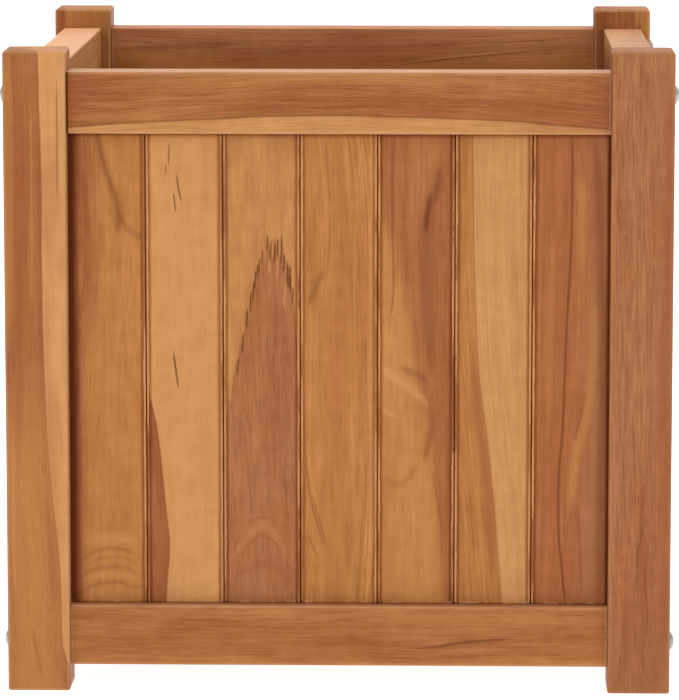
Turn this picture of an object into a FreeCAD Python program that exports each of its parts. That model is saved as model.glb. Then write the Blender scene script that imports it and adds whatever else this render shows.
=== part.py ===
# Square teak planter: four corner posts, framed and slatted sides, and a lift-out slatted base.
# Millimetres. X runs left to right, Y front to back, Z up. The origin lies on the ground under the middle.

import FreeCAD
import Part
import math
import os

# Overall size, over the outer faces of the posts
planter_width = 400.0
planter_depth = 400.0
planter_height = 388.0

# Corner posts
post_side = 37.5
post_edge_round = 2.5
post_top_round = 2.4
post_foot_round = 1.0

# Rails between the posts, with a groove for the slats
rail_height = 37.0
rail_thickness = 25.0
rail_setback = 6.0
rail_round = 1.2
rail_end_ease = 0.5
rim_drop = 13.0
foot_clearance = 15.0
rail_groove_depth = 6.5

# Tongued and grooved slats, standing in the grooves of the rails and posts
slats_per_side = 7
slat_thickness = 10.0
slat_gap = 0.8
slat_end_gap = 1.5
slat_edge_seat = 4.0
slat_edge_gap = 0.8
groove_clearance = 0.2
bevel_width = 2.8
bevel_depth = 1.6
bevel_round = 0.6
inner_ease = 0.6
tongue_thickness = 3.0
tongue_length = 4.5
tongue_clearance = 0.15
tongue_end_gap = 0.5

# Glued tenons on the ends of the left and right rails
tenon_thickness = 12.0
tenon_shoulder = 3.25
tenon_bolt_wall = 2.25
tenon_end_gap = 0.5
tenon_clearance = 0.1

# Bolts through the side faces of the posts into the ends of the front and rear rails
bolt_place_share = 0.46
bolt_radius = 3.0
bolt_past_nut = 1.5
bolt_tip_chamfer = 0.8
bolt_tip_gap = 1.5
bolt_clearance = 0.25
bolt_head_radius = 6.0
bolt_head_height = 3.3
bolt_head_rim = 0.7
bolt_dome_share = 0.5
bolt_socket_width = 4.0
bolt_socket_depth = 2.0
bolt_socket_flat_count = 6

# Threaded insert nuts, let into the ends of the front and rear rails
nut_radius = 4.5
nut_length = 15.0
nut_recess = 0.5
nut_rib_count = 4
nut_rib_height = 0.5
nut_rib_share = 0.3
nut_clearance = 0.1
nut_thread_clearance = 0.05

# Wooden dowels that stop the bolted rails from turning
dowel_radius = 3.0
dowel_in_post = 14.0
dowel_in_rail = 20.0
dowel_place_share = 0.16
dowel_chamfer = 0.6
dowel_end_gap = 0.5
dowel_clearance = 0.05

# Cleats on the left and right bottom rails, which carry the base
cleat_width = 20.0
cleat_height = 16.0
cleat_rise = 4.0
cleat_end_gap = 1.0
cleat_round = 1.0
cleat_screw_count = 3
cleat_screw_span_share = 0.8
cleat_screw_in_rail = 14.0

# Lift-out base: boards across two battens
base_board_count = 6
base_board_thickness = 12.0
base_board_gap = 7.0
base_board_round = 1.2
base_side_gap = 1.0
batten_width = 24.0
batten_height = 12.0
batten_round = 1.0
batten_end_setback = 20.0
batten_place_share = 0.5
base_screw_in_batten = 8.0

# Countersunk wood screws
screw_radius = 2.0
screw_tip = 5.0
screw_head_radius = 4.0
screw_head_height = 2.4
screw_sink = 0.4
screw_clearance = 0.05
screw_recess_width = 1.0
screw_recess_length = 4.2
screw_recess_depth = 1.3

# Room that every cut runs past the piece it cuts, and the tolerance for finding an edge by its place
overrun = 1.0
edge_tolerance = 0.01

# Faces and levels that several pieces share, in from the outer faces of the posts or up from the ground
half_width = planter_width / 2
half_depth = planter_depth / 2
rail_middle = rail_setback + rail_thickness / 2
rail_inner = rail_setback + rail_thickness
slat_face = rail_middle - slat_thickness / 2
slat_back = rail_middle + slat_thickness / 2
rail_low = {"bottom": foot_clearance, "top": planter_height - rim_drop - rail_height}
groove_low = rail_low["bottom"] + rail_height - rail_groove_depth
groove_high = rail_low["top"] + rail_groove_depth
cleat_top = rail_low["bottom"] + cleat_rise + cleat_height
base_top = cleat_top + base_board_thickness
base_half_x = half_width - rail_inner - base_side_gap
base_half_y = half_depth - rail_inner - base_side_gap
rail_full_wood = rail_height - rail_groove_depth

# Lengths that follow from what a piece joins
bolt_length = post_side + nut_recess + nut_length + bolt_past_nut
tenon_height = rail_full_wood - 2 * tenon_shoulder
tenon_length = post_side - rail_middle - bolt_radius - bolt_clearance - tenon_bolt_wall - tenon_end_gap
dowel_length = dowel_in_post + dowel_in_rail - 2 * dowel_end_gap
cleat_screw_length = cleat_width - screw_sink + cleat_screw_in_rail
base_screw_length = base_board_thickness - screw_sink + base_screw_in_batten

# Heights of the joinery in the bottom and top rails: shares of the full wood between groove and outer edge
levels = ("bottom", "top")
bolt_height = {
    "bottom": rail_low["bottom"] + rail_full_wood * bolt_place_share,
    "top": groove_high + rail_full_wood * (1 - bolt_place_share),
}
dowel_height = {
    "bottom": groove_low - rail_full_wood * dowel_place_share,
    "top": groove_high + rail_full_wood * dowel_place_share,
}
tenon_middle = {
    "bottom": rail_low["bottom"] + tenon_shoulder + tenon_height / 2,
    "top": groove_high + tenon_shoulder + tenon_height / 2,
}

# Each side: its length between the posts, and its outer face's distance from the middle
sides = {
    "front": (planter_width - 2 * post_side, half_depth),
    "right": (planter_depth - 2 * post_side, half_width),
    "rear": (planter_width - 2 * post_side, half_depth),
    "left": (planter_depth - 2 * post_side, half_width),
}
side_angle_degrees = {"front": 0, "right": 90, "rear": 180, "left": 270}

# The signs of X or Y at each end of the planter
y_signs = {"front": -1, "rear": 1}
x_signs = {"left": -1, "right": 1}

origin = FreeCAD.Vector(0, 0, 0)
z_axis = FreeCAD.Vector(0, 0, 1)


# Basic solids

def block(x0, x1, y0, y1, z0, z1):
    low = FreeCAD.Vector(min(x0, x1), min(y0, y1), min(z0, z1))
    return Part.makeBox(abs(x1 - x0), abs(y1 - y0), abs(z1 - z0), low)


def rod(start, end, radius):
    way = end - start
    return Part.makeCylinder(radius, way.Length, start, way)


def lines(points):
    corners = [FreeCAD.Vector(radius, 0, along) for radius, along in points]
    return [Part.makeLine(a, b) for a, b in zip(corners, corners[1:])]


# A half outline, from axis to axis, turned about its axis and laid along a direction
def turned(edges, start, way):
    closing = Part.makeLine(edges[-1].Vertexes[-1].Point, edges[0].Vertexes[0].Point)
    solid = Part.Face(Part.Wire(edges + [closing])).revolve(origin, z_axis, 360)
    solid.Placement = FreeCAD.Placement(start, FreeCAD.Rotation(z_axis, way))
    return solid


def edges_in_plane(shape, axis, place):
    found = []
    for edge in shape.Edges:
        low = getattr(edge.BoundBox, axis + "Min")
        high = getattr(edge.BoundBox, axis + "Max")
        if abs(low - place) < edge_tolerance and abs(high - place) < edge_tolerance:
            found.append(edge)
    return found


def edges_along(shape, axis):
    other = {"X": ("Y", "Z"), "Y": ("X", "Z"), "Z": ("X", "Y")}[axis]

    def across(edge):
        return sum(getattr(edge.BoundBox, name + "Length") for name in other)

    return [edge for edge in shape.Edges if getattr(edge.BoundBox, axis + "Length") > across(edge)]


def eased_block(x0, x1, y0, y1, z0, z1, radius):
    solid = block(x0, x1, y0, y1, z0, z1)
    return solid.makeFillet(radius, solid.Edges)


# Fasteners

def bolt(head_seat, way):
    rise = bolt_head_height - bolt_head_rim
    ball = (bolt_head_radius ** 2 + rise ** 2) / (2 * rise)
    out = bolt_head_radius * bolt_dome_share
    up = math.sqrt(ball ** 2 - out ** 2) - (ball - rise)
    crown = FreeCAD.Vector(0, 0, -bolt_head_height)
    shoulder = FreeCAD.Vector(out, 0, -bolt_head_rim - up)
    rim = FreeCAD.Vector(bolt_head_radius, 0, -bolt_head_rim)
    dome = Part.Arc(crown, shoulder, rim).toShape()
    shank = lines([
        (bolt_head_radius, -bolt_head_rim),
        (bolt_head_radius, 0),
        (bolt_radius, 0),
        (bolt_radius, bolt_length - bolt_tip_chamfer),
        (bolt_radius - bolt_tip_chamfer, bolt_length),
        (0, bolt_length),
    ])
    solid = turned([dome] + shank, head_seat, way)
    part_turn = 2 * math.pi / bolt_socket_flat_count
    corner = bolt_socket_width / 2 / math.cos(part_turn / 2)
    angles = [k * part_turn for k in range(bolt_socket_flat_count + 1)]
    mouth = -bolt_head_height - overrun
    ring = [FreeCAD.Vector(corner * math.cos(a), corner * math.sin(a), mouth) for a in angles]
    socket = Part.Face(Part.makePolygon(ring)).extrude(z_axis * (bolt_socket_depth + overrun))
    socket.Placement = solid.Placement
    return solid.cut(socket)


def insert_nut(mouth, way):
    root = nut_radius - nut_rib_height
    bore = bolt_radius + nut_thread_clearance
    step = nut_length / (nut_rib_count + 1)
    points = [(bore, 0), (nut_radius, 0)]
    for k in range(nut_rib_count):
        rib = (k + 1) * step
        half = step * nut_rib_share
        points += [(nut_radius, rib - step + half), (root, rib - half), (nut_radius, rib)]
    points += [(root, nut_length), (bore, nut_length)]
    return turned(lines(points), mouth, way)


def dowel(start, way):
    edges = lines([
        (0, 0),
        (dowel_radius - dowel_chamfer, 0),
        (dowel_radius, dowel_chamfer),
        (dowel_radius, dowel_length - dowel_chamfer),
        (dowel_radius - dowel_chamfer, dowel_length),
        (0, dowel_length),
    ])
    return turned(edges, start, way)


def screw(surface, way, length):
    edges = lines([
        (0, 0),
        (screw_head_radius, 0),
        (screw_radius, screw_head_height),
        (screw_radius, length - screw_tip),
        (0, length),
    ])
    solid = turned(edges, surface + way * screw_sink, way)
    half_long = screw_recess_length / 2
    half_wide = screw_recess_width / 2
    for x, y in ((half_long, half_wide), (half_wide, half_long)):
        recess = block(-x, x, -y, y, -overrun, screw_recess_depth)
        recess.Placement = solid.Placement
        solid = solid.cut(recess)
    return solid


def screw_hole(surface, way, length):
    head = screw_head_radius + screw_clearance
    shank = screw_radius + screw_clearance
    edges = lines([
        (0, -screw_sink - overrun),
        (head, -screw_sink - overrun),
        (head, 0),
        (shank, screw_head_height),
        (shank, length - screw_tip),
        (0, length + screw_clearance),
    ])
    return turned(edges, surface + way * screw_sink, way)


# Where the fasteners go: a point on the post's side face or on a board, and the way in

def on_post_face(x_sign, y_sign, height):
    place = FreeCAD.Vector(x_sign * half_width, y_sign * (half_depth - rail_middle), height)
    return place, FreeCAD.Vector(-x_sign, 0, 0)


def cleat_screw_places(x_sign):
    span = (planter_depth - 2 * post_side) * cleat_screw_span_share
    step = span / (cleat_screw_count - 1)
    x = x_sign * (half_width - rail_inner - cleat_width)
    height = cleat_top - cleat_height / 2
    return [FreeCAD.Vector(x, k * step - span / 2, height) for k in range(cleat_screw_count)]


def batten_x(x_sign):
    return x_sign * base_half_x * batten_place_share


def board_edges(number):
    width = (2 * base_half_y - (base_board_count - 1) * base_board_gap) / base_board_count
    low = -base_half_y + number * (width + base_board_gap)
    return low, low + width


def base_screw_place(x_sign, number):
    return FreeCAD.Vector(batten_x(x_sign), sum(board_edges(number)) / 2, base_top)


# The holes that a bolt, its nut and its dowel need at one corner

def bolted_holes(x_sign, y_sign, level):
    face, way = on_post_face(x_sign, y_sign, bolt_height[level])
    bolt_end = face + way * (bolt_length + bolt_tip_gap)
    bolt_hole = rod(face - way * overrun, bolt_end, bolt_radius + bolt_clearance)
    nut_end = face + way * (post_side + nut_recess + nut_length)
    nut_hole = rod(face + way * post_side, nut_end, nut_radius + nut_clearance)
    face, way = on_post_face(x_sign, y_sign, dowel_height[level])
    dowel_end = face + way * (post_side + dowel_in_rail)
    dowel_hole = rod(face + way * (post_side - dowel_in_post), dowel_end, dowel_radius + dowel_clearance)
    return [bolt_hole, nut_hole, dowel_hole]


# Posts

def post(x_sign, y_sign):
    x_out = x_sign * half_width
    y_out = y_sign * half_depth

    def inside(u0, u1, v0, v1, z0, z1):
        x_span = (x_out - x_sign * u0, x_out - x_sign * u1)
        y_span = (y_out - y_sign * v0, y_out - y_sign * v1)
        return block(*x_span, *y_span, z0, z1)

    solid = inside(0, post_side, 0, post_side, 0, planter_height)
    solid = solid.makeFillet(post_edge_round, edges_along(solid, "Z"))
    solid = solid.makeFillet(post_top_round, edges_in_plane(solid, "Z", planter_height))
    solid = solid.makeFillet(post_foot_round, edges_in_plane(solid, "Z", 0))
    past = post_side + overrun
    groove_from = slat_face - groove_clearance
    groove_to = slat_back + groove_clearance
    groove_floor = post_side - slat_edge_seat - slat_edge_gap
    cuts = [
        inside(groove_floor, past, groove_from, groove_to, groove_low, groove_high),
        inside(groove_from, groove_to, groove_floor, past, groove_low, groove_high),
    ]
    mortise_floor = post_side - tenon_length - tenon_end_gap
    mortise_from = rail_middle - tenon_thickness / 2 - tenon_clearance
    mortise_to = rail_middle + tenon_thickness / 2 + tenon_clearance
    half_high = tenon_height / 2 + tenon_clearance
    for level in levels:
        low = tenon_middle[level] - half_high
        high = tenon_middle[level] + half_high
        cuts.append(inside(mortise_from, mortise_to, mortise_floor, past, low, high))
        bolt_hole, _, dowel_hole = bolted_holes(x_sign, y_sign, level)
        cuts += [bolt_hole, dowel_hole]
    return solid.cut(cuts)


# Rails, made at the front and turned to their side

def rail(side, level):
    length, outer = sides[side]
    end = length / 2
    low = rail_low[level]
    high = low + rail_height
    face = -outer + rail_setback
    middle = -outer + rail_middle
    solid = block(-end, end, face, face + rail_thickness, low, high)
    solid = solid.makeFillet(rail_round, edges_along(solid, "X"))
    end_edges = edges_in_plane(solid, "X", -end) + edges_in_plane(solid, "X", end)
    solid = solid.makeFillet(rail_end_ease, end_edges)
    half_groove = slat_thickness / 2 + groove_clearance
    groove = {"bottom": (groove_low, high + overrun), "top": (low - overrun, groove_high)}[level]
    past = end + overrun
    solid = solid.cut(block(-past, past, middle - half_groove, middle + half_groove, *groove))
    if side in x_signs:
        tip = end + tenon_length
        thick_span = (middle - tenon_thickness / 2, middle + tenon_thickness / 2)
        high_span = (tenon_middle[level] - tenon_height / 2, tenon_middle[level] + tenon_height / 2)
        solid = solid.fuse(block(-tip, tip, *thick_span, *high_span)).removeSplitter()
    solid = solid.rotated(origin, z_axis, side_angle_degrees[side])
    if side in y_signs:
        for x_sign in x_signs.values():
            solid = solid.cut(bolted_holes(x_sign, y_signs[side], level))
    elif level == "bottom":
        way = FreeCAD.Vector(x_signs[side], 0, 0)
        holes = [screw_hole(place, way, cleat_screw_length) for place in cleat_screw_places(x_signs[side])]
        solid = solid.cut(holes)
    return solid


# Slats, counted from the left as seen from outside; the outer edges of the first and last sit in the posts

def slat(side, number):
    length, outer = sides[side]
    pitch = length / slats_per_side
    left = -length / 2 + number * pitch + slat_gap / 2
    right = left + pitch - slat_gap
    face = -outer + slat_face
    back = -outer + slat_back
    middle = -outer + rail_middle
    shoulder = face + bevel_depth
    half_tongue = tongue_thickness / 2
    half_groove = half_tongue + tongue_clearance
    tongue_end = right + tongue_length
    groove_end = left - slat_gap + tongue_length + tongue_end_gap
    left_edge = [
        (left + inner_ease, back),
        (left, back - inner_ease),
        (left, middle + half_groove),
        (groove_end, middle + half_groove),
        (groove_end, middle - half_groove),
        (left, middle - half_groove),
        (left, shoulder),
        (left + bevel_width, face),
    ]
    right_edge = [
        (right - bevel_width, face),
        (right, shoulder),
        (right, middle - half_tongue),
        (tongue_end, middle - half_tongue),
        (tongue_end, middle + half_tongue),
        (right, middle + half_tongue),
        (right, back - inner_ease),
        (right - inner_ease, back),
    ]
    bevels = [left + bevel_width, right - bevel_width]
    if number == 0:
        seat = -length / 2 - slat_edge_seat
        left_edge = [(seat, back), (seat, face)]
        bevels.remove(left + bevel_width)
    if number == slats_per_side - 1:
        seat = length / 2 + slat_edge_seat
        right_edge = [(seat, face), (seat, back)]
        bevels.remove(right - bevel_width)
    ring = left_edge + right_edge
    wire = Part.makePolygon([FreeCAD.Vector(x, y, groove_low) for x, y in ring + ring[:1]])
    solid = Part.Face(wire).extrude(z_axis * (groove_high - slat_end_gap - groove_low))
    uprights = edges_along(solid, "Z")
    arrises = []
    for place in bevels:
        arrises += [edge for edge in uprights if abs(edge.BoundBox.XMin - place) < edge_tolerance]
    return solid.makeFillet(bevel_round, arrises).rotated(origin, z_axis, side_angle_degrees[side])


# Cleats and base

def cleat(x_sign):
    outer = x_sign * (half_width - rail_inner)
    inner = outer - x_sign * cleat_width
    end = half_depth - post_side - cleat_end_gap
    solid = block(inner, outer, -end, end, cleat_top - cleat_height, cleat_top)
    solid = solid.makeFillet(cleat_round, edges_in_plane(solid, "X", inner))
    way = FreeCAD.Vector(x_sign, 0, 0)
    return solid.cut([screw_hole(place, way, cleat_screw_length) for place in cleat_screw_places(x_sign)])


def batten(x_sign):
    middle = batten_x(x_sign)
    half = batten_width / 2
    end = base_half_y - batten_end_setback
    low = cleat_top - batten_height
    solid = eased_block(middle - half, middle + half, -end, end, low, cleat_top, batten_round)
    places = [base_screw_place(x_sign, number) for number in range(base_board_count)]
    return solid.cut([screw_hole(place, -z_axis, base_screw_length) for place in places])


def base_board(number):
    low, high = board_edges(number)
    solid = eased_block(-base_half_x, base_half_x, low, high, cleat_top, base_top, base_board_round)
    notch_x = half_width - post_side - base_side_gap
    notch_y = half_depth - post_side - base_side_gap
    under = cleat_top - overrun
    over = base_top + overrun
    cuts = []
    for x_sign in x_signs.values():
        cuts.append(screw_hole(base_screw_place(x_sign, number), -z_axis, base_screw_length))
        for y_sign in y_signs.values():
            x_span = (x_sign * notch_x, x_sign * half_width)
            y_span = (y_sign * notch_y, y_sign * half_depth)
            cuts.append(block(*x_span, *y_span, under, over))
    return solid.cut(cuts)


# The whole planter

pieces = {}

for side in sides:
    for level in levels:
        pieces[f"{side}_{level}_rail"] = rail(side, level)
    for number in range(slats_per_side):
        pieces[f"{side}_slat_{number + 1}"] = slat(side, number)

bolts = []
nuts = []
dowels = []
for y_word, y_sign in y_signs.items():
    for x_word, x_sign in x_signs.items():
        pieces[f"{y_word}_{x_word}_post"] = post(x_sign, y_sign)
        for level in levels:
            face, way = on_post_face(x_sign, y_sign, bolt_height[level])
            bolts.append(bolt(face, way))
            nuts.append(insert_nut(face + way * (post_side + nut_recess), way))
            face, way = on_post_face(x_sign, y_sign, dowel_height[level])
            dowels.append(dowel(face + way * (post_side - dowel_in_post + dowel_end_gap), way))
pieces["frame_bolts"] = Part.makeCompound(bolts)
pieces["insert_nuts"] = Part.makeCompound(nuts)
pieces["locating_dowels"] = Part.makeCompound(dowels)

cleat_screws = []
base_screws = []
for x_word, x_sign in x_signs.items():
    pieces[f"{x_word}_cleat"] = cleat(x_sign)
    pieces[f"{x_word}_batten"] = batten(x_sign)
    outward = FreeCAD.Vector(x_sign, 0, 0)
    cleat_screws += [screw(place, outward, cleat_screw_length) for place in cleat_screw_places(x_sign)]
    for number in range(base_board_count):
        base_screws.append(screw(base_screw_place(x_sign, number), -z_axis, base_screw_length))
pieces["cleat_screws"] = Part.makeCompound(cleat_screws)
pieces["base_screws"] = Part.makeCompound(base_screws)

for number in range(base_board_count):
    pieces[f"base_board_{number + 1}"] = base_board(number)

os.makedirs("parts", exist_ok=True)
for name, shape in pieces.items():
    shape.exportStep(f"parts/{name}.step")
print(len(pieces), "nodes,", sum(len(shape.Solids) for shape in pieces.values()), "solids")
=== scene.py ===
import math
import random

import bpy
import bmesh
from mathutils import Euler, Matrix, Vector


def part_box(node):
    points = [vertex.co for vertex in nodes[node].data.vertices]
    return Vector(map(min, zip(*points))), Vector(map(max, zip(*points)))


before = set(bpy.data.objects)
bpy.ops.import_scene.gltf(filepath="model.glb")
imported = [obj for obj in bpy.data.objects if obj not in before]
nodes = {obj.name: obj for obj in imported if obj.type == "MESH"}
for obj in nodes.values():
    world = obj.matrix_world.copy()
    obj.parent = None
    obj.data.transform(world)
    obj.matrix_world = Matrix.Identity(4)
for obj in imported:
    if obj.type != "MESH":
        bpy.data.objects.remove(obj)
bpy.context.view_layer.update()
mm = 1000.0  # in a metre
print("planter loaded,", len(nodes), "nodes")


class Wire:
    # one socket of a material's tree; sums on it add Math nodes
    def __init__(self, tree, socket=None):
        self.tree = tree
        self.socket = socket

    def node(self, kind, settings=(), ins=(), out=0):
        made = self.tree.nodes.new(kind)
        for key, value in dict(settings).items():
            if key == "curve":
                drawCurve(made, value)
            else:
                setattr(made, key, value)
        for key, value in dict(ins).items():
            if isinstance(value, Wire):
                self.tree.links.new(value.socket, made.inputs[key])
            else:
                made.inputs[key].default_value = value
        return Wire(self.tree, made.outputs[out] if made.outputs else None)

    def other(self, out):
        return Wire(self.tree, self.socket.node.outputs[out])

    def maths(self, operation, *values):
        return self.node("ShaderNodeMath", {"operation": operation}, enumerate(values))

    def __add__(self, value):
        return self.maths("ADD", self, value)

    __radd__ = __add__

    def __sub__(self, value):
        return self.maths("SUBTRACT", self, value)

    def __rsub__(self, value):
        return self.maths("SUBTRACT", value, self)

    def __mul__(self, value):
        return self.maths("MULTIPLY", self, value)

    __rmul__ = __mul__

    def __truediv__(self, value):
        return self.maths("DIVIDE", self, value)

    def __rtruediv__(self, value):
        return self.maths("DIVIDE", value, self)

    def __pow__(self, value):
        return self.maths("POWER", self, value)

    def __rpow__(self, value):
        return self.maths("POWER", value, self)

    def __abs__(self):
        return self.maths("ABSOLUTE", self)


def drawCurve(made, points):
    line = made.mapping.curves[0].points
    for spot, (x, y) in zip(line, (points[0], points[-1])):
        spot.location = (x, y)
    for x, y in points[1:-1]:
        line.new(x, y)
    made.mapping.extend = "HORIZONTAL"
    made.mapping.update()


def step(value, low, high, first=0.0, last=1.0):
    # a soft step from first at low to last at high
    return value.node("ShaderNodeMapRange", {"interpolation_type": "SMOOTHSTEP"},
                      enumerate((value, low, high, first, last)))


def through(value, points):
    # a smooth line through (value, height) points
    points = sorted(points)
    low, high = points[0][0], points[-1][0]
    heights = [height for at, height in points]
    if len(points) == 2:
        return (value - low) * ((heights[1] - heights[0]) / (high - low)) + heights[0]
    least, most = min(heights), max(max(heights), min(heights) + 1e-3)
    shape = [((at - low) / (high - low), (height - least) / (most - least)) for at, height in points]
    share = value.node("ShaderNodeFloatCurve", {"curve": shape}, {"Value": (value - low) / (high - low)})
    return share * (most - least) + least


noisePlace = {"turns": (7.31, 3.97, 5.53), "wrap": 89.0}  # where in the noise a seed's board lies


def cloud(spread, size, seed, detail, rough):
    # noise with its own size in mm along each of the board's directions
    shift = [(seed * turn) % noisePlace["wrap"] for turn in noisePlace["turns"]]
    scaled = spread.node("ShaderNodeVectorMath", {"operation": "MULTIPLY_ADD"},
                         enumerate((spread, [1.0 / s for s in size], shift)))
    return spread.node("ShaderNodeTexNoise", {"noise_dimensions": "3D"},
                       {"Vector": scaled, "Scale": 1.0, "Detail": detail, "Roughness": rough})


def blend(first, last, share, way="MIX"):
    # Mix node in colour mode: sockets 0, 6 and 7 are factor, A and B
    return share.node("ShaderNodeMix", {"data_type": "RGBA", "blend_type": way},
                      {0: share, 6: first, 7: last}, out=2)


def shade(colour, amount):
    return colour.node("ShaderNodeVectorMath", {"operation": "SCALE"}, {0: colour, "Scale": amount})


def figured(colour, swing, warmth, darkest):
    # darker grain is redder too, so green and blue swing further than red
    held = swing.maths("MAXIMUM", swing, darkest)
    ways = colour.node("ShaderNodeVectorMath", {"operation": "MULTIPLY_ADD"},
                       enumerate((held, warmth, (1.0, 1.0, 1.0))))
    return colour.node("ShaderNodeVectorMath", {"operation": "MULTIPLY"}, enumerate((colour, ways)))


def about(noise, share):
    # noise swung about zero, by share each way
    return (noise - 0.5) * (2.0 * share)


def lifted(mask, least):
    # a mask that starts at least instead of 0
    return least + mask * (1.0 - least)


def broken(lines, ends):
    # strength of a stroke or rubbed edge, broken up by the fine lines
    least, rise = ends
    return least + lines * rise


def tint(rgb, share=1.0, sheen=0.0, least=0.004):
    # screen colour to the linear colour that nodes take, less the studio's sheen on it
    level = [c / 255.0 for c in rgb]
    lin = [c / 12.92 if c <= 0.04045 else ((c + 0.055) / 1.055) ** 2.4 for c in level]
    return [max(c - sheen, least) * share for c in lin] + [1.0]


def startFinish(name):
    finish = bpy.data.materials.new(name)
    finish.use_nodes = True
    finish.node_tree.nodes.clear()
    return finish, Wire(finish.node_tree)


def putOn(piece, finish):
    if not piece.material_slots:
        piece.data.materials.append(finish)
    for place in piece.material_slots:
        place.material = finish


teakTones = {
    "wheat": (215, 155, 100),
    "straw": (208, 148, 92),
    "oat": (203, 145, 91),
    "sand": (200, 140, 85),
    "honey": (193, 131, 76),
    "amber": (183, 121, 68),
    "rose": (173, 112, 74),
    "russet": (168, 103, 63),
    "brick": (156, 89, 53),
    "chestnut": (128, 71, 44),
    "umber": (94, 45, 21),
    "olive": (140, 95, 46),
    "chalk": (224, 170, 130),
    # tone of the painted shade in the corners beside the posts and at a rail's end
    "deepShade": (94, 45, 20),
    "ember": (168, 62, 16),  # wood inside the joints, where little light falls
}

# a board may set any of these for itself
teakLook = {
    "tonesShare": 0.745,  # base colours against the tones, under the studio light
    "sheen": 0.004,  # light that the gloss adds to every tone
    "gloss": 0.04,  # specular level
    "wander": 5.0,  # mm that the grain strays sideways
    "ripple": 0.9,  # mm that a fine line waves
    "lineLong": 90.0,  # mm that it keeps on
    "straight": False,  # fine lines along the board, whatever way the heartwood's edge takes
    "edge": 0.5,  # mm over which heartwood turns to sapwood
    "saw": 0.5,  # mm that its teeth stand out
    "sawWide": 1.3,  # mm from tooth to tooth
    "rim": 0.0,  # how dark the line along that edge is
    "rimWide": 0.9,
    "rimCore": 0.1,
    "rimLines": (0.3, 1.2),
    "crownRise": 0.16,  # rings passed per mm up a board with a crown, and per mm into it
    "crownDeep": 0.6,
    "crownLean": 0.3,  # how far its fine lines follow the crown
    "straightStray": 0.5,
    "bandShare": 0.4,  # contrast of the broad growth bands
    "fineShare": 0.38,  # contrast of the fine lines
    "mottleShare": 0.16,
    "curlShare": 0.1,  # contrast of the soft patches across the grain
    "sapShare": 0.45,  # how much of the bands and lines sapwood shows
    "warmth": (0.86, 1.2, 1.42),  # how far red, green and blue follow the figure
    "darkest": -0.62,  # the figure darkens no further
    "blush": ("russet", 0.35),  # tone and share of the darker patches
    "blushFrom": (0.42, 0.68),
    "pale": ("honey", 0.3),  # and of the paler ones
    "paleFrom": (0.52, 0.3),
    "streaks": (),
    "streakStray": 0.15,
    "streakLines": (0.55, 0.8),
    "poreShare": 0.28,
    "poreLeast": 0.35,  # pores outside their belts, and in sapwood
    "fleckShare": 0.0,  # pale dashes between the pores
    "fleckGap": 0.7,  # how far the pore belts hold them off
    "wearAndHighlightShare": 0.3,  # how pale the rubbed edges are: wear and a painted highlight
    "wearLines": (0.4, 1.2),
    "wearFrom": (2.2, 0.8),  # mm from the edge
    "bevelShadeShare": 1.0,  # how dark the painted shade on a slat's bevels is
    "topLightShare": 0.2,  # how far the faces that look up are lightened, painted light from above
    "topLightFrom": (0.75, 0.97),
    "sawnShare": 0.06,  # how much darker the sawn ends are
    "sawnFrom": (0.8, 0.97),
    "openFrom": (1.7, 1.1),  # mm of painted shade at an end, standing for a gap to its post
    "openShare": 0.95,
    "rough": 0.4,
    "roughFrom": {"lines": 0.16, "patches": 0.1, "pores": 0.14, "gap": 0.6, "sawn": 0.1},
    "reliefMm": 0.14,
    "reliefStrength": 0.5,
    "reliefFrom": {"lines": 0.5, "bands": 0.35, "pores": 0.7},
}

# noise of each feature: its step of the seed, and mm across, along and through the board
grain = {
    "stray": {"seed": 0, "mm": (30.0, 210.0, 45.0)},
    "ripple": {"seed": 3, "mm": (5.0, 70.0, 12.0)},
    "saw": {"seed": 5, "mm": (1.3, 42.0, 5.0), "detail": 1.5},
    "bands": {"seed": 11, "mm": (7.0, 300.0, 60.0), "detail": 3.0, "rough": 0.55},
    "lines": {"seed": 17, "mm": (0.9, 90.0, 9.0), "detail": 2.5, "rough": 0.6},
    "mottle": {"seed": 19, "mm": (3.5, 24.0, 6.0), "detail": 3.0, "rough": 0.6},
    "patches": {"seed": 23, "mm": (26.0, 130.0, 40.0)},
    "pores": {"seed": 29, "mm": (0.42, 9.0, 0.6), "detail": 1.0, "from": (0.58, 0.74)},
    "belts": {"seed": 31, "mm": (2.6, 400.0, 30.0), "detail": 1.0, "from": (0.4, 0.62)},
    "waver": {"seed": 37, "mm": (1.0, 9.0, 1.0)},
    "stretch": {"seed": 41, "mm": (1.0, 55.0, 1.0), "detail": 1.0},
    "ragged": {"seed": 43, "mm": (0.9, 30.0, 1.0), "detail": 3.0, "rough": 0.6},
    "curl": {"seed": 47, "mm": (16.0, 8.0, 24.0)},
    "flecks": {"seed": 53, "mm": (0.5, 6.0, 0.7), "detail": 1.0, "from": (0.61, 0.74)},
}


def feature(name, spread, seed, wide=None, long=None):
    row = grain[name]
    across, along, deep = row["mm"]
    size = (wide or across, long or along, deep)
    return cloud(spread, size, seed + row["seed"], row.get("detail", 2.0), row.get("rough", 0.5))


def specks(name, spread, seed):
    return step(feature(name, spread, seed), *grain[name]["from"])


def vein(tone, share, wide, *path, taper=0.3):
    # a stripe along the board, through (along, across) points in mm
    return {"tone": tone, "share": share, "wide": wide, "path": path, "taper": taper, "over": False}


def arc(tone, share, wide, *path, taper=0.3):
    # a stripe over the board, through (across, along) points in mm
    return {**vein(tone, share, wide, *path, taper=taper), "over": True}


def dashes(tone, share, wide, *spots, lean=0.6):
    # short upright strokes, each at (across, from, to) mm
    return [vein(tone, share, wide, (first, at), (last, at - lean), taper=0.25) for at, first, last in spots]


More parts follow.
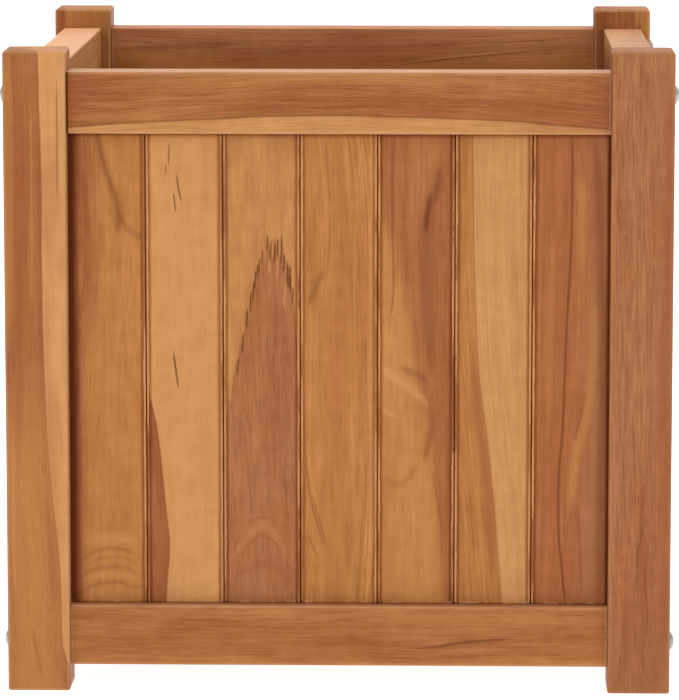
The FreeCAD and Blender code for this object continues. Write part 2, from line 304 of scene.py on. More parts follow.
def streakMask(u, v, streak, core=0.1, least=0.02):
    # 1 in the middle of the stripe, which tapers to both ends
    run, side = (u, v) if streak["over"] else (v, u)
    path = sorted(streak["path"])
    low, high = path[0][0], path[-1][0]
    taper = streak["taper"] * (high - low)
    ends = step(run, low, low + taper) * step(run, high - taper, high, 1.0, 0.0)
    off = abs(side - through(run, path)) / (ends * streak["wide"] + least)
    return step(off, core, 1.0, 1.0, 0.0) * ends


# pairs are mm from the joint, post or rail: where the shade starts, and where it is full
slatLook = {
    "bevel": (4.2, 2.0),
    "bevelShadeTint": (0.6, 0.47, 0.36, 1.0),
    "bevelWaver": 0.8,  # mm that its line wavers
    "rubbedLipHighlight": (1.8, 1.4),  # the rubbed arris, with a painted highlight on it
    "lipWorn": 1.2,
    "lipShare": 0.95,
    "stretch": (0.36, 0.56, 0.25, 1.0),  # the lip is faint along some stretches
    "stretchWorn": 0.4,
    "gap": (0.48, 0.38),
    "gapShare": 0.95,
    # painted shade and painted shadow in the corners beside the posts
    "corners": {-1: {"shade": (8.5, 3.8), "deepShade": (4.6, 2.3)},  # beside the left post
                1: {"shade": (3.4, 0.9), "deepShade": (1.7, 0.85)}},  # and beside the right one
    "cornerTint": (0.5, 0.36, 0.29, 1.0),
    "cornerWaver": 0.8,
    "cornerShare": 0.93,
    # painted shadow under the top rail, and painted shade at the slats' foot by the bottom rail
    "railShadeTint": (0.52, 0.36, 0.25, 1.0),
    "underRail": (3.4, 0.4),
    "overRail": (1.0, 0.3),
    "chips": (4.4, 3.4),  # pale chips above the bottom rail
    "chipTall": 4.0,
    "chipFrom": (0.48, 0.6),
    "chipShare": 0.5,
}


def slatEdges(colour, u, v, lines, tones, lay, bevelShadeShare):
    # painted shade on the bevels and a rubbed lip with painted highlight at each joint, and painted shade in
    # the corners beside the posts and at the rails
    look = slatLook
    half, wall, seed = lay["joint"], lay["wall"], lay["seed"]
    near = half + u * wall if wall else half - abs(u)
    run = u.node("ShaderNodeCombineXYZ", {}, {0: u * 0.1, 1: v, 2: seed})
    waver = feature("waver", run, seed) - 0.5
    # painted shade on the bevel, deepening toward the joint
    bevel = step(near + waver * look["bevelWaver"], *look["bevel"])
    colour = blend(colour, look["bevelShadeTint"], bevel * bevelShadeShare, "MULTIPLY")
    stretch = step(feature("stretch", run, seed) + waver * look["stretchWorn"], *look["stretch"])
    # a pale lip at the joint: rubbed wood with a painted highlight
    rubbedLipHighlight = step(near + waver * look["lipWorn"], *look["rubbedLipHighlight"])
    colour = blend(colour, tones["wheat"], rubbedLipHighlight * stretch * look["lipShare"])
    gap = step(near, *look["gap"])
    colour = blend(colour, tones["ember"], gap * look["gapShare"])
    # painted shade in the corner beside a post, darkest right against it
    if wall:
        post = half - u * wall + (lines - 0.5) * look["cornerWaver"]
        corner = look["corners"][wall]
        colour = blend(colour, look["cornerTint"], step(post, *corner["shade"]), "MULTIPLY")
        colour = blend(colour, tones["deepShade"], step(post, *corner["deepShade"]) * look["cornerShare"])
    low, high = lay["seen"]
    # painted shadow on the slat under the top rail
    colour = blend(colour, look["railShadeTint"], step(high - v, *look["underRail"]), "MULTIPLY")
    ragged = feature("ragged", run, seed)
    chips = step(v - low + ragged * look["chipTall"], *look["chips"]) * step(ragged, *look["chipFrom"])
    colour = blend(colour, tones["chalk"], chips * look["chipShare"])
    # painted shade along the slat's foot at the bottom rail
    return blend(colour, look["railShadeTint"], step(v - low, *look["overRail"]), "MULTIPLY"), gap


def rubbed(u, v, w, lay, reach):
    # 1 along the board's arrises: there the second nearest of its faces is close
    halfWide, halfLong, thick = lay["half"]
    wide = halfWide - abs(u)
    long = halfLong - abs(v)
    deep = w.maths("MINIMUM", w, thick - w)
    nearest = wide.maths("MINIMUM", wide, deep)
    other = wide.maths("MAXIMUM", wide, deep)
    second = wide.maths("MAXIMUM", nearest, other.maths("MINIMUM", other, long))
    return step(second, *reach)


def growthRings(look, u, v, w, stray, ripple):
    # distance from the pith less that of the heartwood's edge, and what the fine lines follow
    if "crown" in look:
        ring = (v - through(u, look["crown"])) * look["crownRise"] + w * look["crownDeep"] + ripple
        figure = u + ring * look["crownLean"]
    else:
        aside, deep = look["pith"]
        reach = u - through(v, look["line"]) + stray + aside
        depth = w + deep
        ring = (reach * reach + depth * depth) ** 0.5 - math.hypot(aside, deep) + ripple
        figure = ring
    if look["straight"]:
        figure = u + stray * look["straightStray"] + ripple
    return ring, figure


def teak(name, board, lay):
    look = {**teakLook, **board}
    tones = {key: tint(rgb, look["tonesShare"], look["sheen"]) for key, rgb in teakTones.items()}
    finish, start = startFinish(name)
    spot = start.node("ShaderNodeTexCoord", out="Object")
    split = start.node("ShaderNodeSeparateXYZ", {}, {0: spot})
    u, v, w = [(split.other(axis) - at) * (mm * way) for axis, at, way in lay["ways"]]
    seed = lay["seed"]
    body = start.node("ShaderNodeCombineXYZ", {}, {0: u, 1: v, 2: w})

    # heartwood, and the noise that follows the board or its rings
    stray = (feature("stray", body, seed) - 0.5) * look["wander"]
    ripple = (feature("ripple", body, seed) - 0.5) * look["ripple"]
    ring, figure = growthRings(look, u, v, w, stray, ripple)
    toothed = ring + about(feature("saw", body, seed, wide=look["sawWide"]), look["saw"])
    heart = step(toothed, -look["edge"], look["edge"], 1.0, 0.0)
    rings = start.node("ShaderNodeCombineXYZ", {}, {0: figure, 1: v, 2: w})
    bands = feature("bands", rings, seed)
    lines = feature("lines", rings, seed, long=look["lineLong"])
    patches = feature("patches", body, seed)
    belts = specks("belts", rings, seed)
    pores = specks("pores", body, seed)
    pores = pores * lifted(belts, look["poreLeast"]) * lifted(heart, look["poreLeast"])

    # colour, from the broad patches to the finest marks
    blushTone, blushShare = look["blush"]
    paleTone, paleShare = look["pale"]
    colour = blend(tones[look["sap"]], tones[look["heart"]], heart)
    colour = blend(colour, tones[blushTone], step(patches, *look["blushFrom"]) * blushShare)
    colour = blend(colour, tones[paleTone], step(patches, *look["paleFrom"]) * paleShare)
    swing = about(bands, look["bandShare"]) + about(lines, look["fineShare"])
    swing = swing * lifted(heart, look["sapShare"])
    swing = swing + about(feature("mottle", body, seed), look["mottleShare"])
    swing = swing + about(feature("curl", body, seed), look["curlShare"])
    colour = figured(colour, swing, look["warmth"], look["darkest"])
    if look["rim"]:
        rim = step(abs(toothed), look["rimCore"], look["rimWide"], 1.0, 0.0)
        colour = blend(colour, tones["umber"], rim * (look["rim"] * broken(lines, look["rimLines"])))
    for streak in look["streaks"]:
        mask = streakMask(u + stray * look["streakStray"], v, streak) * broken(lines, look["streakLines"])
        colour = blend(colour, tones[streak["tone"]], mask * streak["share"])
    colour = blend(colour, tones["umber"], pores * look["poreShare"])
    if look["fleckShare"]:
        flecks = specks("flecks", body, seed) * (1.0 - belts * look["fleckGap"])
        colour = blend(colour, tones["wheat"], flecks * look["fleckShare"])

    # edges, ends and the faces that look up
    matt = look["roughFrom"]
    rough = look["rough"] + (lines - 0.5) * matt["lines"] + (patches - 0.5) * matt["patches"]
    rough = rough + pores * matt["pores"]
    if "joint" in lay:
        colour, gap = slatEdges(colour, u, v, lines, tones, lay, look["bevelShadeShare"])
        rough = rough + gap * matt["gap"]
    else:
        # pale arrises: rubbed wear and a painted highlight
        wearAndHighlight = rubbed(u, v, w, lay, look["wearFrom"]) * (look["wearAndHighlightShare"] * broken(lines, look["wearLines"]))
        colour = blend(colour, tones["chalk"], wearAndHighlight)
    # painted shade at one end of a rail, standing for a gap to its post
    if "openEnd" in look:
        gone = lay["half"][1] + v * look["openEnd"]
        colour = blend(colour, tones["deepShade"], step(gone, *look["openFrom"]) * look["openShare"])
    facing = start.node("ShaderNodeTexCoord", out="Normal")
    turned = start.node("ShaderNodeSeparateXYZ", {}, {0: facing})
    sawn = step(abs(turned.other(lay["ways"][1][0])), *look["sawnFrom"])
    # painted light on the faces that look up
    colour = blend(colour, tones["chalk"], step(turned.other(2), *look["topLightFrom"]) * look["topLightShare"])
    colour = shade(colour, 1.0 - look["sawnShare"] * sawn)

    relief = look["reliefFrom"]
    height = (lines - 0.5) * relief["lines"] + (bands - 0.5) * relief["bands"] - pores * relief["pores"]
    bump = start.node("ShaderNodeBump", {},
                      {"Strength": look["reliefStrength"], "Distance": look["reliefMm"] / mm,
                       "Height": height})
    shader = start.node("ShaderNodeBsdfPrincipled", {},
                        {"Base Color": colour, "Roughness": rough + sawn * matt["sawn"],
                         "Specular IOR Level": look["gloss"], "Normal": bump})
    start.node("ShaderNodeOutputMaterial", {}, {"Surface": shader})
    return finish


# each side as seen from outside: axis and way across it, and axis and way inward
sides = {
    "front": {"across": (0, 1), "inward": (1, 1)},
    "right": {"across": (1, 1), "inward": (0, -1)},
    "rear": {"across": (0, -1), "inward": (1, -1)},
    "left": {"across": (1, -1), "inward": (0, 1)},
}
slatRow = {"count": 7, "pitch": 46.43}  # mm from joint to joint


def layOf(node, side, along, seed):
    # the board's own directions: across, along and inward from its outer face
    low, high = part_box(node)
    middle = (low + high) / 2
    inAxis, inWay = sides[side]["inward"]
    face = low[inAxis] if inWay > 0 else high[inAxis]
    acrossAxis, acrossWay = sides[side]["across"]
    ways = [(acrossAxis, middle[acrossAxis], acrossWay), (2, middle[2], 1), (inAxis, face, inWay)]
    if along == "level":
        ways[:2] = ways[1], ways[0]
    size = [(high[axis] - low[axis]) * mm for axis, at, way in ways]
    return {"ways": ways, "seed": seed, "half": (size[0] / 2, size[1] / 2, size[2])}


def slatLay(node, side, place, seed):
    # a slat's middle is that of its face, without the tongue
    lay = layOf(node, side, "upright", seed)
    last = slatRow["count"] - 1
    axis, at, way = lay["ways"][0]
    lay["ways"][0] = (axis, (place - last / 2) * slatRow["pitch"] / mm * way, way)
    lay["joint"] = slatRow["pitch"] / 2
    lay["wall"] = {0: -1, last: 1}.get(place, 0)
    middle = lay["ways"][1][1]
    lowRail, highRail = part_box(f"{side}_bottom_rail")[1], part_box(f"{side}_top_rail")[0]
    lay["seen"] = ((lowRail[2] - middle) * mm, (highRail[2] - middle) * mm)
    return lay


# front slats from left to right; points are mm from the slat's middle, (along, across) but for arcs
frontSlats = [
    {"heart": "russet", "sap": "amber", "pith": (90, 25), "edge": 6.0, "bandShare": 0.3,
     "line": [(-150, -14), (0, -12), (60, -4), (110, -3), (150, -8)],
     "blush": ("honey", 0.5), "pale": ("honey", 0.45),
     "lineLong": 50.0, "mottleShare": 0.26, "tonesShare": 0.775,
     "streaks": [
         vein("chestnut", 0.42, 4.8, (152, -7.5), (141, -5), (127, -1.7), (114, 2.3), (101, 6.3), (92, 7.1),
              (78, 6.2), taper=0.15),
         vein("chestnut", 0.36, 1.8, (152, -7.5), (141, -5), (127, -1.7), (114, 2.3), (101, 6.3), (92, 7.1),
              (80, 6.2), taper=0.15),
         arc("chestnut", 0.36, 4.5, (4, 101), (8, 94), (12, 87), (16, 83), (24, 81), taper=0.25),
         vein("brick", 0.6, 3.6, (130, -15), (110, -13), (90, -11.6), (70, -8.6)),
         vein("chestnut", 0.25, 3.0, (96, -4), (82, -3.2), (60, -5)),
         arc("chestnut", 0.3, 2.2, (-26, -122), (-14, -114.4), (-4, -109.6), (7, -109.4), (19, -115),
             (26, -120)),
         arc("brick", 0.3, 1.8, (-26, -127), (-12, -119), (-2, -114.6), (9, -115), (19, -120), (26, -125)),
         arc("chestnut", 0.26, 2.6, (-26, -131), (-14, -124.4), (-4, -121), (7, -120.3), (16, -124),
             (26, -130)),
         arc("chestnut", 0.34, 2.2, (-26, -140), (-14, -134), (-4, -130.4), (6, -129.6), (14, -132.8),
             (26, -131), taper=0.2),
         arc("straw", 0.4, 6.0, (-20, -113), (-4, -103), (8, -103), (22, -110)),
         arc("straw", 0.3, 2.6, (-24, -137), (-8, -126), (8, -125.4), (24, -131)),
     ]},
    {"heart": "brick", "sap": "straw", "pith": (60, 20), "edge": 0.45, "rim": 0.35, "wander": 0.8,
     "line": [(150, -46), (10, -28), (-16, -21.2), (-42, -15.9), (-69, -13), (-93, -10.8), (-106, -9.5),
              (-126, -11), (-150, -12.4)],
     "blush": ("sand", 0.45), "pale": ("straw", 0.15), "poreShare": 0.16, "bandShare": 0.18,
     "fineShare": 0.18, "mottleShare": 0.1, "lineLong": 40.0, "straight": True,
     "streaks": [
         vein("umber", 0.7, 0.8, (140, -8.4), (122, -9.2)),
         vein("umber", 0.75, 0.9, (122, -4.6), (112, -3.4), (99, -0.4)),
         vein("umber", 0.75, 0.8, (110, -6.4), (94, -4.6)),
         vein("umber", 0.6, 0.7, (126, -11.0), (118, -10.4)),
         vein("umber", 0.8, 1.1, (16, -7.2), (0, -5.2), (-15, -3.2)),
     ]},
    {"heart": "rose", "sap": "sand", "edge": 0.4, "saw": 3.0, "sawWide": 0.75, "rim": 0.25, "rimWide": 1.0,
     "poreShare": 0.4, "fineShare": 0.3, "lineLong": 40.0, "mottleShare": 0.24, "bandShare": 0.2,
     "crown": [(-30, -70), (-22, -30), (-16, -1), (-11.9, 17), (-6, 42), (-1, 60), (3.2, 69), (7.4, 72),
               (12.4, 70), (14.9, 64), (17.8, 50), (20, 34), (24, 0), (30, -50)],
     "blush": ("brick", 0.45), "pale": ("russet", 0.5), "fleckShare": 0.2,
     "streaks": [
         arc("sand", 0.34, 5.0, (-22, -119), (-14, -109), (-5.4, -98), (1, -94.6), (7.8, -99), (12.9, -108),
             (18, -122), taper=0.2),
         arc("brick", 0.4, 1.8, (-14, -98), (-6, -91.6), (2, -89.6), (9, -91.4)),
         arc("brick", 0.45, 2.2, (-12, -113), (-6, -104.6), (0, -101), (6, -103.4), (12, -113), (15, -121),
             taper=0.25),
         arc("sand", 0.4, 0.9, (1, -98), (7, -102.6), (12, -110), (15, -117)),
         arc("brick", 0.34, 5.0, (-23, -134), (-10, -122), (2, -118), (10, -122), (20, -138), taper=0.25),
         arc("sand", 0.4, 1.6, (-18, -148), (-8, -142.6), (2, -142), (8, -147)),
         *dashes("sand", 0.8, 0.9, (4.9, 70, 57), (9.9, 70, 55), (6.9, 78, 67), (14.1, 55, 35),
                 (11.1, 79, 69)),
         *dashes("umber", 0.85, 0.7, (3.7, 84, 71), (5.7, 80, 65), (8.2, 80, 63), (9.9, 82, 69),
                 (12.1, 86, 62), (0.7, 75, 63), (-1, 70, 58), (-2.2, 66, 55), (-3.5, 63, 48), (-4.7, 56, 41),
                 (-6.3, 51, 33), (-8.5, 40, 24), (-11, 25, 9), (-14, 10, -4), (13.8, 73, 58), (15.8, 69, 51),
                 (17.8, 60, 46), (19.1, 53, 39)),
         *dashes("umber", 0.75, 1.9, (17, 66, 48)),
     ]},
    {"heart": "amber", "sap": "amber", "line": [(-150, 6), (0, 10), (150, 2)], "pith": (-70, 18), "edge": 9.0,
     "blush": ("russet", 0.3), "pale": ("honey", 0.45), "bandShare": 0.34, "bevelShadeShare": 0.8,
     "lineLong": 60.0, "mottleShare": 0.24, "fineShare": 0.52, "tonesShare": 0.775,
     "streaks": [
         vein("chestnut", 0.4, 1.4, (148, -8), (107, -5.6), (92, -3)),
         vein("chestnut", 0.3, 1.0, (100, -5), (60, -7), (44, -12)),
         vein("chestnut", 0.5, 1.3, (-40, -20), (-66, -18.6), (-84, -15.5), (-118, -3.6)),
         vein("chestnut", 0.5, 0.9, (-70, -17.6), (-86, -13), (-112, -6.4)),
         vein("chestnut", 0.5, 1.2, (-98, -19.4), (-116, -12)),
         vein("sand", 0.45, 1.1, (-30, -21), (-64, -16.6), (-98, -9)),
         vein("chestnut", 0.45, 3.6, (66, -8.6), (59, -10.5), (49, -14.6), (36, -20)),
         vein("russet", 0.35, 5.0, (130, 14), (20, 15), (-60, 11)),
         vein("olive", 0.3, 5.0, (120, -15), (70, -16), (20, -13)),
         vein("olive", 0.3, 6.0, (-80, 4), (-120, 9), (-150, 15)),
         vein("straw", 0.6, 2.6, (170, 19.8), (0, 19.8), (-140, 19.5), taper=0.15),
     ]},
    {"heart": "russet", "sap": "honey", "pith": (-80, 22), "edge": 5.0, "straight": True,
     "line": [(150, -25), (100, -22), (78, -15), (40, -7), (0, -1), (-60, 8), (-150, 18)],
     "blush": ("brick", 0.25), "pale": ("honey", 0.35), "bandShare": 0.22,
     "lineLong": 50.0, "mottleShare": 0.2, "fineShare": 0.3,
     "streaks": [
         vein("chestnut", 0.45, 7.5, (140, 15), (116, 13), (103, 8.4), (91, 6.4), (74, 5.4), (51, 5.6),
              (20, 8), (-14, 12), taper=0.2),
         vein("umber", 0.6, 2.8, (112, 9.4), (98, 7.2), (91, 6), (80, 6)),
         vein("chestnut", 0.5, 2.6, (128, 15), (110, 12), (96, 10)),
         arc("wheat", 0.52, 5.4, (-24, 4), (-20.8, 1.9), (-11.2, -5), (-2.5, -11.2), (6.2, -19), (10, -24.4),
             taper=0.2),
         arc("chestnut", 0.45, 4.4, (-12, 3), (-4, 0), (5, -4.5), (10, -11)),
         arc("wheat", 0.5, 2.4, (-22, -23), (-16, -25.4), (-9, -29)),
         arc("brick", 0.32, 4.4, (-24, -61), (-19, -65.6), (-11.2, -69), (-4, -64), (1, -57.4), (5, -50),
             taper=0.25),
         vein("brick", 0.55, 2.6, (-14, 7), (-24, 9), (-33, 9.6), (-45, 7.4), (-60, 1)),
         vein("brick", 0.45, 5.0, (-30, 9), (-44, 7), (-58, 5)),
         vein("brick", 0.5, 1.4, (-56, 9.6), (-84, 14), (-108, 18.6)),
         vein("chestnut", 0.5, 1.5, (146, -14.5), (80, -14), (50, -13.6), (36, -15), (24, -20), taper=0.15),
     ]},
    {"heart": "amber", "sap": "oat", "pith": (70, 24), "edge": 0.4, "saw": 0.3, "rim": 0.25, "wander": 0.8,
     "line": [(150, -12.8), (103, -12), (61, -11.4), (1, -8.6), (-29, -4.8), (-59, -1.4), (-101, 2.4),
              (-148, 6)],
     "blush": ("russet", 0.12), "pale": ("sand", 0.2), "bandShare": 0.3, "fineShare": 0.48, "lineLong": 60.0,
     "streaks": [
         vein("russet", 0.75, 4.6, (40, -12), (0, -11.4), (-59, -4.6), (-101, -0.8), (-148, 2.8), taper=0.25),
     ]},
    {"heart": "russet", "sap": "rose", "line": [(-150, 4), (0, 8), (150, 10)], "pith": (60, 16), "edge": 8.0,
     "blush": ("russet", 0.3), "pale": ("rose", 0.3), "bandShare": 0.2, "lineLong": 50.0, "mottleShare": 0.18,
     "fineShare": 0.28, "tonesShare": 0.79,
     "streaks": [
         vein("brick", 0.3, 28.0, (-210, 0), (-120, 0), (-70, 0), taper=0.4),
         vein("honey", 0.7, 4.4, (60, 11), (30, 13.6), (-2, 12.4), (-28, 9.6), (-50, 3.8), (-73, 1),
              (-100, -2.6), taper=0.2),
         vein("honey", 0.5, 4.6, (130, 5), (90, 6), (50, 6)),
         vein("amber", 0.45, 5.0, (110, -14), (60, -12), (10, -13), (-50, -12)),
         vein("chestnut", 0.4, 1.5, (-8, 9), (-28, 6), (-46, -0.4)),
         vein("chestnut", 0.46, 4.4, (152, 13), (110, 15.6), (63, 17.4), (7, 19.6), (-60, 18.6), (-160, 18),
              taper=0.1),
         vein("chestnut", 0.4, 1.8, (-70, 4), (-104, 6), (-146, 8)),
         vein("umber", 0.6, 1.3, (148, 0), (102, 0.2), (65, -0.7), (26, -2.6), (-32, -4.4), (-80, -6.8),
              (-119, -4.6), (-148, -1), taper=0.05),
     ]},
]

# the posts, and the rails that the front view shows
frontFrame = {
    "front_left_post": {
        "heart": "russet", "sap": "wheat", "pith": (60, 20), "edge": 0.7, "saw": 0.4, "rim": 0.3,
        "line": [(200, 2.2), (150, 3.4), (109, 4), (58, 3.8), (8, 4.4), (-48, 6.9), (-81, 9.4), (-107, 11.9),
                 (-132, 13.5), (-163, 14), (-173, 16), (-182, 21), (-200, 27)],
        "blush": ("brick", 0.35), "pale": ("amber", 0.4), "wander": 0.8, "bandShare": 0.22,
        "fineShare": 0.3, "lineLong": 60.0, "mottleShare": 0.12,
        "streaks": [
            vein("honey", 0.85, 26.0, (-340, -2), (-130, -3), (70, -8), taper=0.34),
            vein("amber", 0.75, 4.0, (210, -15), (100, -15.6), (0, -16), taper=0.2),
            vein("brick", 0.5, 5.0, (200, -8), (100, -8), (0, -9.6), (-90, -12)),
            vein("honey", 0.6, 1.2, (190, -1.6), (120, -1.8), (40, -1.4)),
            vein("chestnut", 0.6, 0.8, (190, 13.4), (150, 13.8), (90, 13.2)),
            vein("russet", 0.5, 3.0, (-60, 4), (-110, 8), (-160, 11)),
            vein("chestnut", 0.3, 2.2, (-150, -4), (-166, -2), (-192, 4)),
            vein("sand", 0.5, 2.2, (-20, -14), (-90, -14.6), (-150, -12)),
        ]},
    "front_right_post": {
        "heart": "rose", "sap": "rose", "pith": (70, 18), "edge": 6.0, "line": [(-200, 8), (0, 6), (200, 4)],
        "blush": ("russet", 0.5), "pale": ("rose", 0.3), "fineShare": 0.5, "poreShare": 0.32,
        "lineLong": 26.0, "bandShare": 0.2, "mottleShare": 0.2, "ripple": 1.8, "wearAndHighlightShare": 0.12,
        "fleckShare": 0.36, "tonesShare": 0.72,
        "streaks": [
            vein("brick", 0.4, 22.0, (-260, 4), (-190, 4), (-60, 6), taper=0.45),
            vein("brick", 0.5, 5.0, (-190, 16), (0, 15.5), (190, 16), taper=0.1),
            vein("brick", 0.5, 2.4, (150, 5), (110, 6.4), (60, 8)),
            vein("brick", 0.45, 3.4, (60, 14), (-10, 12), (-60, 12.4)),
            vein("brick", 0.5, 4.4, (-40, 1), (-110, 2), (-180, 4)),
            vein("umber", 0.35, 1.1, (-74, -1), (-96, 0.6), (-112, -1.4), (-140, 1)),
            vein("umber", 0.3, 1.1, (-100, 5), (-124, 3.4), (-150, 5), (-172, 2)),
            vein("brick", 0.45, 4.4, (-120, -10), (-150, -8), (-192, -9)),
        ]},
    "front_top_rail": {
        "heart": "russet", "sap": "straw", "pith": (-60, 22), "edge": 0.6, "saw": 0.4, "rim": 0.5,
        "line": [(-180, -15.5), (-140, -13.2), (-83, -9.9), (-5, -7.5), (78, -9.4), (130, -12.6), (180, -17)],
        "blush": ("brick", 0.4), "pale": ("honey", 0.35), "wander": 1.0, "fineShare": 0.56,
        "bandShare": 0.26, "lineLong": 36.0, "mottleShare": 0.2, "ripple": 1.8, "openEnd": 1,
        "topLightShare": 0.8, "fleckShare": 0.26, "tonesShare": 0.72,
        "streaks": [
            vein("honey", 0.5, 6.0, (-160, 12), (-60, 14), (20, 15), (120, 14)),
            vein("honey", 0.55, 4.0, (-170, -9), (-130, -8.6), (-90, -6)),
            vein("brick", 0.5, 3.6, (-20, 3), (60, 2), (110, 0), (165, -8)),
            vein("brick", 0.4, 1.6, (-130, 0.4), (-70, 1.6), (-20, 3)),
        ]},
    "front_bottom_rail": {
        "heart": "russet", "sap": "amber", "pith": (-50, 20), "edge": 6.0,
        "line": [(-180, -12), (0, -15), (180, -11)],
        "blush": ("amber", 0.45), "pale": ("honey", 0.45), "fineShare": 0.4, "bandShare": 0.2,
        "lineLong": 34.0, "mottleShare": 0.2, "ripple": 1.6, "fleckShare": 0.2,
        "streaks": [
            vein("brick", 0.45, 3.4, (-30, -3), (10, -4), (44, -7)),
            vein("honey", 0.5, 3.4, (50, -11), (70, -9), (110, -8)),
            vein("honey", 0.55, 7.0, (-20, 12), (60, 12), (165, 9)),
            vein("honey", 0.4, 4.0, (30, 5), (80, 3.6), (120, 4)),
            vein("umber", 0.6, 1.5, (40, -7.6), (58, -6.4), (72, -4.2), (100, -1.6), (116, -1.2)),
        ]},
    "rear_top_rail": {
        "heart": "rose", "sap": "amber", "pith": (-60, 14), "edge": 5.0,
        "line": [(-180, -9), (0, -13), (180, -6)],
        "blush": ("brick", 0.5), "pale": ("honey", 0.3), "fineShare": 0.6, "bandShare": 0.5,
        "tonesShare": 0.92,
        "streaks": [
            vein("brick", 0.55, 4.0, (-90, 8), (-40, 6), (20, 2)),
            vein("chestnut", 0.45, 3.4, (60, 10), (110, 6), (170, 4)),
            vein("umber", 0.5, 0.9, (-140, 4), (-70, -2), (-20, -8)),
            vein("sand", 0.5, 0.7, (-140, 5.4), (-70, -0.6), (-20, -6.6)),
        ]},
    # lighter tones, a painted highlight on its top and inner face
    "left_top_rail": {
        "heart": "rose", "sap": "sand", "pith": (60, 16), "edge": 3.0, "line": [(-180, 4), (0, 7), (180, 5)],
        "blush": ("russet", 0.3), "pale": ("straw", 0.4), "tonesShare": 0.95, "topLightShare": 0.7},
    "rear_left_post": {
        "heart": "brick", "sap": "amber", "pith": (60, 20), "edge": 1.6,
        "line": [(-200, -9), (0, -10), (200, -11)],
        "blush": ("honey", 0.4), "pale": ("honey", 0.4), "fineShare": 0.5},
    "rear_right_post": {
        "heart": "russet", "sap": "honey", "pith": (60, 20), "edge": 0.9,
        "line": [(-200, 8), (0, 9), (200, 9.5)],
        "blush": ("brick", 0.3), "pale": ("amber", 0.4), "fineShare": 0.5,
        "streaks": [
            vein("honey", 0.7, 4.0, (188, 4), (176, 5), (164, 4)),
            vein("umber", 0.5, 2.4, (190, 10), (178, 11.6), (160, 11)),
            vein("chestnut", 0.5, 3.0, (186, -9), (176, -8), (160, -9)),
        ]},
}

# boards with a figure of their own; their places are shares of half the board's width or length
otherBoards = {
    "size": {"slat": (46, 300), "rail": (37, 350)},  # mm
    "seed": {"slat": 13, "rail": 17, "base": 23},
    "hearts": ["russet", "russet", "amber", "rose", "brick"],
    "saps": ["honey", "amber", "honey", "sand", "straw"],
    "heartAt": (-0.9, 1.6),
    "lean": (-0.35, 0.35),
    "bow": (-0.3, 0.3),
    "edges": [0.5, 0.8, 4.0, 7.0],
    "saw": (0.3, 0.8),
    "pithAside": (40, 90),
    "pithDeep": (12, 30),
    "wander": (1.5, 5.0),
    "blushTones": ["russet", "brick", "amber"],
    "blushShare": (0.2, 0.5),
    "paleTones": ["honey", "amber"],
    "paleShare": (0.2, 0.45),
    "veins": (1, 3),
    "veinFrom": (-0.8, 0.4),
    "veinLong": (0.3, 0.9),
    "veinSide": (-0.7, 0.7),
    "veinDrift": (-0.2, 0.2),
    "veinBow": 0.7,
    "veinWide": (0.9, 3.0),
    "veinTones": ["chestnut", "umber", "brick", "olive"],
    "veinShare": (0.25, 0.5),
    "railTopLight": 0.5,
}


def anyBoard(kind, seed, size=None):
    # a board of the same timber; the draws keep their order
    look = otherBoards
    pick = random.Random(seed * look["seed"][kind])
    wide, tall = size or look["size"][kind]
    halfWide, halfTall = wide / 2, tall / 2
    heart = pick.choice(look["hearts"])
    sap = pick.choice(look["saps"])
    where = pick.uniform(*look["heartAt"]) * halfWide
    lean = pick.uniform(*look["lean"]) * halfWide
    bow = pick.uniform(*look["bow"]) * halfWide
    way = pick.choice([-1, 1])
    board = {
        "heart": heart, "sap": sap, "edge": pick.choice(look["edges"]), "saw": pick.uniform(*look["saw"]),
        "pith": (way * pick.uniform(*look["pithAside"]), pick.uniform(*look["pithDeep"])),
        "line": [(-halfTall, where - lean), (0, where + bow), (halfTall, where + lean)],
        "wander": pick.uniform(*look["wander"]),
        "blush": (pick.choice(look["blushTones"]), pick.uniform(*look["blushShare"])),
        "pale": (pick.choice(look["paleTones"]), pick.uniform(*look["paleShare"])),
        "streaks": [],
    }
    for count in range(pick.randint(*look["veins"])):
        at = pick.uniform(*look["veinFrom"]) * halfTall
        run = pick.uniform(*look["veinLong"]) * halfTall
        side = pick.uniform(*look["veinSide"]) * halfWide
        drift = pick.uniform(*look["veinDrift"]) * halfWide
        broad = pick.uniform(*look["veinWide"])
        tone = pick.choice(look["veinTones"])
        share = pick.uniform(*look["veinShare"])
        bend = (at + run / 2, side + drift * look["veinBow"])
        board["streaks"].append(vein(tone, share, broad, (at, side), bend, (at + run, side + drift)))
    return board


seed = 1
for side in sides:
    for place in range(slatRow["count"]):
        node = f"{side}_slat_{place + 1}"
        seed += 1
        board = frontSlats[place] if side == "front" else anyBoard("slat", seed)
        putOn(nodes[node], teak(f"teak_{node}", board, slatLay(node, side, place, seed)))
    for level in ("top", "bottom"):
        node = f"{side}_{level}_rail"
        seed += 1
        board = frontFrame.get(node) or {**anyBoard("rail", seed), "topLightShare": otherBoards["railTopLight"]}
        putOn(nodes[node], teak(f"teak_{node}", board, layOf(node, side, "level", seed)))
print("slats and rails finished")

for node in ("front_left_post", "front_right_post", "rear_left_post", "rear_right_post"):
    seed += 1
    putOn(nodes[node], teak(f"teak_{node}", frontFrame[node], layOf(node, "front", "upright", seed)))
print("posts finished")

for node in sorted(nodes):
    if "screws" in node or not any(word in node for word in ("base_board", "cleat", "batten")):
        continue
    seed += 1
    low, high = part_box(node)
    long = 0 if "base_board" in node else 1
    wide = 1 - long
    middle = (low + high) / 2
    size = (high - low) * mm
    lay = {"ways": [(wide, middle[wide], 1), (long, middle[long], 1), (2, high[2], -1)], "seed": seed,
           "half": (size[wide] / 2, size[long] / 2, size[2])}
    putOn(nodes[node], teak(f"teak_{node}", anyBoard("base", seed, (size[wide], size[long])), lay))
print("base boards, cleats and battens finished")

